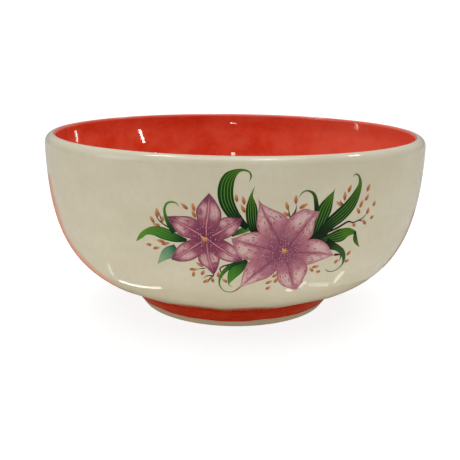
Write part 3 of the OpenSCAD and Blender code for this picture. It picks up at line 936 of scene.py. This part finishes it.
# %% The coral glaze
def coral_glaze():
    """Mottled coral glass, with painted light that makes it paler to the right, deeper under the lip and
    light on its edge.
    """
    paint = Paint("coral_glaze")
    place = paint.place()
    x, _, z = paint.parts(place)
    brushed = paint.clouds(wheel_place(paint, 4.0, 0.10), 1.0, 4.0, 0.6)
    mottled = paint.clouds(place, 0.07, 5.0, 0.62)
    fine = paint.clouds(place, 0.8, 3.0, 0.6)
    colour = paint.washes(
        tone(218, 68, 36),
        (paint.step(mottled, 0.34, 0.68), tone(230, 96, 66)),
        (paint.step(brushed, 0.42, 0.72) * 0.5, tone(234, 112, 86)),
        (paint.step(fine, 0.5, 0.8) * 0.25, tone(198, 50, 24)),
        (paint.step(z, 83.0, 83.9) * 0.35, tone(222, 120, 88)),
        # Painted light: the inside is paler to the right, where more light falls on it.
        (paint.step(x, 18.0, 62.0) * 0.5, tone(240, 122, 96)),
        (paint.step(z, 73.0, 80.5) * 0.35, tone(188, 34, 12)),
        (paint.specks(place, 0.22, (0.06, 0.03), (0.72, 0.75)) * 0.4, tone(236, 150, 128)))
    wobble = paint.bump(mottled, 0.00016, 0.35)
    peel = paint.bump(fine, 0.000012, 0.4, wobble)
    return paint.finish(colour, fine * 0.05 + 0.05, {"Normal": peel})


coat(coral_skin, coral_glaze())


# %% The coral band on the foot
def foot_coral():
    """Brushed enamel with turning rings, less glossy than a glaze, darker at its lower edge and with
    painted shade at its top edge, under the belly.
    """
    paint = Paint("foot_coral")
    place = paint.place()
    z = paint.parts(place)[2]
    turned_lines = paint.clouds(wheel_place(paint, 2.5, 1.3), 1.0, 3.0, 0.55)
    mottled = paint.clouds(place, 0.25, 3.0, 0.55)
    colour = paint.washes(
        tone(180, 34, 4),
        (paint.step(turned_lines, 0.32, 0.68), tone(196, 50, 12)),
        (paint.step(mottled, 0.45, 0.75) * 0.4, tone(208, 72, 30)),
        (paint.step(z, 4.6, 3.5) * 0.35, tone(160, 32, 8)),
        # Painted shade: the top of the band is darker, under the overhanging belly.
        (paint.step(z, 8.6, 9.8) * 0.35, tone(160, 26, 6)))
    return paint.finish(colour, mottled * 0.1 + 0.18,
                        {"Specular IOR Level": 0.1, "Normal": paint.bump(turned_lines, 0.00012, 0.5)})


coat(coral_band, foot_coral())

# %% [markdown]
# ### Bare porcelain and the hollow
#
# Unglazed porcelain is matt and slightly sandy, with dark grains and grey scuffs where it has
# stood on tables. The same material goes on the body under the glaze, which stays in the
# model although the skins cover it.

# %% The bare porcelain
def bare_porcelain():
    """Matt, sandy clay with turning rings, dark grains and scuffs where it stands."""
    paint = Paint("bare_porcelain")
    place = paint.place()
    z = paint.parts(place)[2]
    turned_lines = paint.clouds(wheel_place(paint, 2.0, 2.2), 1.0, 2.0)
    grain = paint.clouds(place, 3.0, 4.0, 0.7)
    scuff = paint.step(z, 0.9, 0.05) * paint.step(paint.clouds(place, 0.5, 3.0), 0.4, 0.65)
    colour = paint.washes(
        tone(196, 176, 146),
        (paint.step(turned_lines, 0.3, 0.7), tone(208, 190, 162)),
        (paint.step(grain, 0.45, 0.7) * 0.35, tone(178, 156, 124)),
        (paint.specks(place, 0.9, (0.14, 0.07), (0.78, 0.8)) * 0.5, tone(120, 98, 74)),
        (scuff * 0.6, tone(128, 118, 104)))
    sand = paint.bump(grain, 0.00005, 0.7)
    rings = paint.bump(turned_lines, 0.00010, 0.5, sand)
    return paint.finish(colour, grain * 0.15 + 0.55, {"Normal": rings})


porcelain = bare_porcelain()
coat(foot_ring, porcelain)
coat(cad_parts["bowl_body"], porcelain)


# %% The glaze in the hollow
def hollow_glaze():
    """A thin ivory coat with rings and pinholes."""
    paint = Paint("hollow_glaze")
    place = paint.place()
    rings = paint.clouds(wheel_place(paint, 2.0, 0.5), 1.0, 3.0)
    fine = paint.clouds(place, 0.6, 4.0, 0.6)
    colour = paint.washes(
        tone(204, 196, 172),
        (paint.step(rings, 0.3, 0.7), tone(214, 207, 186)),
        (paint.step(fine, 0.45, 0.75) * 0.3, tone(188, 176, 148)),
        (paint.specks(place, 0.5, (0.08, 0.04), (0.84, 0.86)) * 0.6, tone(104, 84, 62)))
    return paint.finish(colour, fine * 0.08 + 0.12, {"Normal": paint.bump(fine, 0.00002, 0.5)})


coat(well_skin, hollow_glaze())

# %% [markdown]
# ## Enamels
#
# Enamel is painted in washes: a ground colour, a paler patch on each side of the vein, a dark
# tip and root, a dark edge, then dots and dashes with the tip of the brush. Each wash is a
# mask over u, across the stroke, and v, along it. Noise that mixes in the place on the bowl
# keeps two petals from having the same marks.

# %% The petal enamel
ENAMEL_PEEL = 0.00002


def petal_enamel(name, ground, pale, edge, root, vein, vein_share, tip_share, dash, dash_share):
    """A petal with hairs, a vein, dashes towards the tip and white dots round the heart."""
    paint = Paint(name)
    u, v, far = paint.across()
    place = paint.place()
    x, _, z = paint.parts(place)
    region = paint.clouds(place, 0.16, 2.0)
    hairs = paint.clouds(paint.joined(u * 22.0, v * 1.8, region * 9.0), 1.0, 3.0, 0.6)
    wash = paint.clouds(place, 0.34, 3.0, 0.55)
    patch = (paint.step(far, 0.04, 0.30) * paint.step(far, 0.96, 0.62) * paint.step(v, 0.30, 0.48)
             * paint.step(v, 0.82, 0.58) * paint.step(wash, 0.30, 0.52))
    vein_mask = paint.step(far, 0.07, 0.03) * paint.step(v, 0.93, 0.70) * paint.step(v, 0.02, 0.10)
    dashes = (paint.specks(paint.joined(u * 11.0, v * 9.5, region * 0.5), 1.0, (0.30, 0.16),
                           (0.52, 0.56), True)
              * paint.step(v, 0.26, 0.36) * paint.step(v, 0.96, 0.88) * paint.step(far, 0.96, 0.84))
    dots = (paint.specks(paint.joined(x, z, 0.0), 1.05, (0.24, 0.12), (0.50, 0.54), True)
            * paint.step(v, 0.34, 0.20))
    colour = paint.washes(
        ground,
        (paint.step(wash, 0.35, 0.65) * 0.45, edge),
        (patch * 0.85, pale),
        (paint.step(v, 0.62, 0.92) * tip_share, root),
        (paint.step(hairs, 0.52, 0.70) * 0.55, edge),
        (paint.step(hairs, 0.46, 0.28) * 0.45, pale),
        (paint.step(v, 0.42, 0.08) * 0.8, root),
        (paint.step(far, 0.24, 0.02) * paint.step(v, 0.70, 0.25) * 0.35, root),
        (vein_mask * vein_share, vein),
        (dashes * dash_share, dash),
        (dots * 0.62, tone(224, 178, 190)),
        (paint.step(far, 0.84, 1.0) * 0.75, edge))
    return paint.finish(colour, wash * 0.12 + 0.26,
                        {"Specular IOR Level": 0.2, "Normal": paint.bump(hairs, ENAMEL_PEEL, 0.4)})


purple = petal_enamel("purple_enamel", tone(156, 78, 98), tone(212, 172, 170), tone(116, 44, 72),
                      tone(108, 42, 74), tone(214, 142, 152), 0.85, 0.95, tone(106, 38, 66), 0.35)
mauve, dark_tipped = [petal_enamel(name, tone(188, 122, 132), tone(214, 186, 178), tone(158, 84, 104),
                                   tone(118, 50, 82), tone(126, 56, 82), 0.5, tip_share,
                                   tone(132, 58, 78), 0.8)
                      for name, tip_share in (("mauve_enamel", 0.22), ("dark_tipped_enamel", 0.95))]
LONG_WHIP = 2
for petal in left_petals:
    coat(petal, purple)
for count, petal in enumerate(right_petals):
    coat(petal, dark_tipped if count == LONG_WHIP else mauve)


# %% The leaf enamel
def leaf_enamel(name, base, middle, tip, line_colour, line_share):
    """A leaf that goes from base to tip in three greens, with light lines along it."""
    paint = Paint(name)
    u, v, far = paint.across()
    region = paint.clouds(paint.place(), 0.16, 2.0)
    hairs = paint.clouds(paint.joined(u * 20.0, v * 2.0, region * 8.0), 1.0, 3.0, 0.6)
    turns = u * (math.tau * 5.0) + region * 1.5
    waves = paint.node("ShaderNodeMath", {"operation": "SINE"}, {0: turns})[0]
    lines = (paint.step(waves, 0.70, 0.98) * paint.step(v, 0.04, 0.25) * paint.step(v, 0.86, 0.60)
             * paint.step(far, 0.92, 0.75))
    colour = paint.washes(
        base,
        (paint.step(v, 0.05, 0.40), middle),
        (paint.step(v, 0.35, 0.80), tip),
        (paint.step(hairs, 0.52, 0.75) * 0.45, base),
        (lines * line_share, line_colour),
        (paint.step(far, 0.70, 1.0) * paint.step(v, 0.80, 0.45) * 0.55, base))
    return paint.finish(colour, hairs * 0.12 + 0.26,
                        {"Specular IOR Level": 0.12, "Normal": paint.bump(hairs, ENAMEL_PEEL, 0.4)})


deep_green = leaf_enamel("deep_green_enamel", tone(3, 36, 16), tone(18, 70, 12), tone(62, 112, 12),
                         tone(124, 164, 66), 0.75)
light_green = leaf_enamel("light_green_enamel", tone(10, 60, 22), tone(52, 118, 24), tone(84, 138, 34),
                          tone(140, 176, 90), 0.4)
grey_green = leaf_enamel("grey_green_enamel", tone(44, 96, 62), tone(104, 146, 108), tone(134, 166, 128),
                         tone(156, 182, 146), 0.3)
GREENS = {9: light_green, 10: grey_green, 11: light_green, 12: light_green, 13: light_green}
for count, leaf in enumerate(leaves):
    coat(leaf, GREENS.get(count, deep_green))


# %% The small enamels
def brushed_enamel(name, dark, light, start, end):
    """A wash that goes from dark at the root to light at the tip of each small stroke."""
    paint = Paint(name)
    _, v, far = paint.across()
    wash = paint.clouds(paint.place(), 1.6, 3.0, 0.6)
    colour = paint.washes(
        dark,
        (paint.step(v, start, end), light),
        (paint.step(wash, 0.45, 0.7) * 0.5, light),
        (paint.step(far, 0.55, 1.0) * 0.35, dark))
    return paint.finish(colour, wash * 0.12 + 0.26,
                        {"Specular IOR Level": 0.2, "Normal": paint.bump(wash, ENAMEL_PEEL, 0.4)})


ochre = brushed_enamel("ochre_enamel", tone(168, 92, 62), tone(222, 164, 108), 0.1, 0.9)
coat(left_heart, ochre)
coat(right_heart, ochre)
coat(buds, brushed_enamel("orange_enamel", tone(146, 82, 44), tone(202, 134, 90), 0.1, 0.9))
coat(twigs, brushed_enamel("brown_enamel", tone(40, 14, 10), tone(84, 34, 26), 0.3, 1.0))
print(len(bpy.data.materials), "materials")

# %% [markdown]
# ## Telling the model what stands for what
#
# Each skin replaces the plain solid that the engineering model has in its place, and rides on
# the model's one body. A petal replaces the whole print of its lily, together with the others.

# %% Tie every piece to the model
TIES = [(ivory_skin, "outer_glaze", "ivory_glaze"), (coral_skin, "inner_glaze", "coral_glaze"),
        (foot_ring, "foot_ring", "bare_porcelain"), (coral_band, "foot_band", "coral_band"),
        (well_skin, "well_glaze", "well_glaze"), (left_heart, "lily_heart_print", "yellow_enamel"),
        (right_heart, "lily_heart_print", "yellow_enamel"), (twigs, "twig_print", "brown_enamel"),
        (buds, "bud_print", "orange_enamel")]
TIES += [(petal, "left_lily_print", "purple_enamel") for petal in left_petals]
TIES += [(petal, "right_lily_print", "mauve_enamel") for petal in right_petals]
TIES += [(leaf, "leaf_print", "green_enamel") for leaf in leaves]
for piece, node, slot in TIES:
    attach(piece, "root")
    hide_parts(node)
print(len(TIES), "pieces tied")

# %% [markdown]
# ## The studio
#
# Glossy pottery is lit by what it mirrors. The bowl stands on a pale floor that is lit from
# above and throws its light back up at the belly, while the surround is dimmer near the
# horizon than overhead. So there are three floor planes: the one that the camera sees is close
# to white, with only a faint shadow, one gives the real bounce, and one, dimmer, is all that
# the reflections in the glaze see. Behind them, the camera sees a white dome.

# %% Floor
RAYS = ("camera", "diffuse", "glossy", "transmission", "shadow")
WHITE = (1.0, 1.0, 1.0, 1.0)
BLACK = (0.0, 0.0, 0.0, 1.0)


def studio(thing, name, material, rays):
    """Names a studio object, coats it and lets only these kinds of ray see it."""
    thing.name = name
    coat(thing, material)
    for ray in RAYS:
        setattr(thing, "visible_" + ray, ray in rays)


def plain(name, colour, glow, strength):
    """A matt studio surface with a little light of its own."""
    paint = Paint(name)
    grain = paint.clouds(paint.place(), 0.01, 2.0)
    shade = paint.mix(grain, tuple(c * 0.97 for c in colour[:3]) + (1.0,), colour)
    return paint.finish(shade, 0.9, {"Specular IOR Level": 0.0, "Emission Color": glow,
                                     "Emission Strength": strength})


def floor_plane(name, size, height, colour, glow, strength, rays):
    """A level plane that only some rays see."""
    bpy.ops.object.select_all(action="DESELECT")
    bpy.ops.mesh.primitive_plane_add(size=size, location=(0, 0, height))
    studio(bpy.context.object, name, plain(name, colour, glow, strength), rays)


floor_plane("floor", 8, -0.0003, (0.28, 0.28, 0.28, 1), WHITE, 0.84, ("camera", "transmission"))
floor_plane("bounce_floor", 0.9, -0.0006, (0.80, 0.79, 0.77, 1), (1.0, 0.98, 0.94, 1.0), 0.30,
            ("diffuse", "transmission", "shadow"))
floor_plane("mirrored_floor", 8, -0.0009, BLACK, (1.0, 0.98, 0.95, 1.0), 0.5, ("glossy",))
print("three floors, one for each kind of ray")

# %% Surround
bpy.ops.object.select_all(action="DESELECT")
bpy.ops.mesh.primitive_uv_sphere_add(segments=32, ring_count=16, radius=5)
studio(bpy.context.object, "white_dome", plain("dome_white", BLACK, WHITE, 1.05), ("camera",))
HORIZON = (0.24, 0.25, 0.25, 1.0)
OVERHEAD = (0.90, 0.90, 0.89, 1.0)
surround = Paint("soft_surround", "worlds")
height = surround.parts(surround.node("ShaderNodeTexCoord")["Generated"])[2]
sky = surround.node("ShaderNodeValToRGB", {"stops": [(0.05, HORIZON), (0.9, OVERHEAD)]},
                    {"Fac": height})["Color"]
glow = surround.node("ShaderNodeBackground", None, {"Color": sky, "Strength": 1.0})["Background"]
surround.node("ShaderNodeOutputWorld", None, {"Surface": glow})
bpy.context.scene.world = surround.owner
print("surround from", HORIZON[0], "at the horizon to", OVERHEAD[0], "overhead")

# %% [markdown]
# ### Lamps and cards
#
# A broad box overhead lights the floor, a box on each side models the wall, and three long
# lamps overhead draw the thin glints on the lip. Cards that only reflections can see do what
# the things round a bowl do on a shelf. Coral ones show as a thin warm edge on both sides, as
# neighbouring pots would, small bright ones are windows low on the belly and on the inner
# wall, and a dark one under the bowl is its own shadow, which the glaze near the foot mirrors.

# %% Soft boxes
def soft_box(name, place, aim, width, height, radiance, tint=(1, 1, 1)):
    """A rectangular lamp at a place, turned to a point, both in metres."""
    bpy.ops.object.light_add(type="AREA", location=place)
    lamp = bpy.context.object
    lamp.name = name
    lamp.rotation_euler = (Vector(aim) - Vector(place)).to_track_quat("-Z", "Y").to_euler()
    lamp.data.shape = "RECTANGLE"
    lamp.data.size = width
    lamp.data.size_y = height
    lamp.data.energy = radiance * math.pi * width * height
    lamp.data.color = tint
    lamp.visible_camera = False


soft_box("top_box", (0.0, 0.1, 1.9), (0, 0, 0.04), 1.4, 1.2, 1.9)
soft_box("left_box", (-1.1, -0.35, 0.6), (0, 0, 0.04), 0.5, 0.7, 1.4)
soft_box("right_box", (1.15, -0.2, 0.5), (0, 0, 0.04), 0.4, 0.6, 0.35, (1.0, 0.94, 0.86))
soft_box("lip_lamp_left", (-0.51, 0.57, 1.5), (0, 0, 0.08), 0.46, 0.11, 16)
soft_box("lip_lamp_middle", (0.25, -0.12, 1.5), (0, 0, 0.08), 0.34, 0.11, 12)
soft_box("lip_lamp_right", (1.01, 0.66, 1.5), (0, 0, 0.08), 0.36, 0.11, 16)


# %% Cards that only reflections see
SHADE_SIDES = 48
SHADE_REACH = 76.0
SHADE_H = 0.4
CARD_H = 1.0
CORAL_GLOW = (0.60, 0.10, 0.055, 1.0)
DARK_GLOW = (0.30, 0.10, 0.06, 1.0)
SHADE_GLOW = (0.24, 0.19, 0.13, 1.0)
WARM_WHITE = (1.0, 0.96, 0.86, 1.0)


def card(name, colour, strength, corners):
    """A flat card between its corners in millimetres. Corners (x, y) lie just over the floor."""
    bpy.ops.object.select_all(action="DESELECT")
    bpy.ops.mesh.primitive_circle_add(vertices=len(corners), radius=1, fill_type="NGON")
    made = bpy.context.object
    for vertex, corner in zip(made.data.vertices, corners):
        vertex.co = Vector((*corner, CARD_H)[:3]) * MM
    studio(made, name, plain(name, BLACK, colour, strength), ("glossy",))


shade_edge = []
for count in range(SHADE_SIDES):
    angle = math.tau * count / SHADE_SIDES
    shade_edge.append((SHADE_REACH * math.cos(angle), SHADE_REACH * math.sin(angle), SHADE_H))
card("foot_shade", SHADE_GLOW, 1.0, shade_edge)
card("left_coral_card", CORAL_GLOW, 1.0,
     [(-235, 310), (-150, 160), (-115, 92), (-92, 58), (-74, 38), (-60, 24), (-62, -24), (-69, -25),
      (-83, -18), (-104, 0), (-132, 50), (-184, 96), (-258, 226)])
card("right_coral_card", DARK_GLOW, 1.0,
     [(165, 175), (124, 98), (98, 58), (86, 40), (90, 16), (104, 28), (134, 74), (178, 142)])
card("left_window", WARM_WHITE, 6.0, [(-66, -40), (-42, -67), (-40.4, -65.2), (-64.4, -38.4)])
card("left_gleam", WARM_WHITE, 2.0, [(-72, -41), (-87, -49), (-88, -46), (-73, -38)])
card("right_spot", WARM_WHITE, 5.0, [(30, -75), (33, -75), (34, -71), (31, -71)])
card("right_gleam", WARM_WHITE, 4.0, [(38, -74), (45, -78), (46, -75), (39, -71)])
card("right_window", WARM_WHITE, 2.2, [(47, -74), (58, -60), (54, -57), (44, -70)])
card("right_frame", WARM_WHITE, 3.5,
     [(60, -58), (66, -61), (75, -63), (75, -59), (66, -57), (60, -54)])
card("inside_streak", WARM_WHITE, 30.0,
     [(-47.0, 61.5, 75.3), (-44.8, 62.6, 68.2), (-43.8, 63.2, 68.3), (-45.8, 62.3, 75.6)])
card("inside_spot_upper", WARM_WHITE, 16.0,
     [(-2.4, 75.8, 78.3), (-2.4, 75.8, 77.7), (0.5, 75.8, 77.7), (0.5, 75.8, 78.3)])
card("inside_spot_low", WARM_WHITE, 18.0,
     [(-1.8, 74.9, 61.8), (-1.8, 74.7, 60.3), (0.0, 74.7, 60.3), (0.0, 74.9, 61.8)])
print("cards ready, the dark one with", SHADE_SIDES, "corners")

# %% [markdown]
# ### Camera
#
# The camera stands in front of the print, a little above the rim, and looks slightly down, so
# that the far inside wall shows over the near rim.

# %% Place the camera
CAMERA_PLACE = (0, -0.3544, 0.1235)
CAMERA_DOWN = 14.19
CAMERA_ROLL = 0.74
bpy.ops.object.camera_add(location=CAMERA_PLACE)
camera = bpy.context.object
camera.name = "front_camera"
camera.matrix_world = (Matrix.Translation(CAMERA_PLACE)
                       @ Matrix.Rotation(math.radians(90 - CAMERA_DOWN), 4, "X")
                       @ Matrix.Rotation(math.radians(CAMERA_ROLL), 4, "Z"))
camera.data.sensor_width = 36
camera.data.lens = 56.9
camera.data.shift_x = -0.009
camera.data.clip_start = 0.01
bpy.context.scene.camera = camera
bpy.context.scene.view_settings.view_transform = "Standard"
print("camera at", tuple(camera.location))
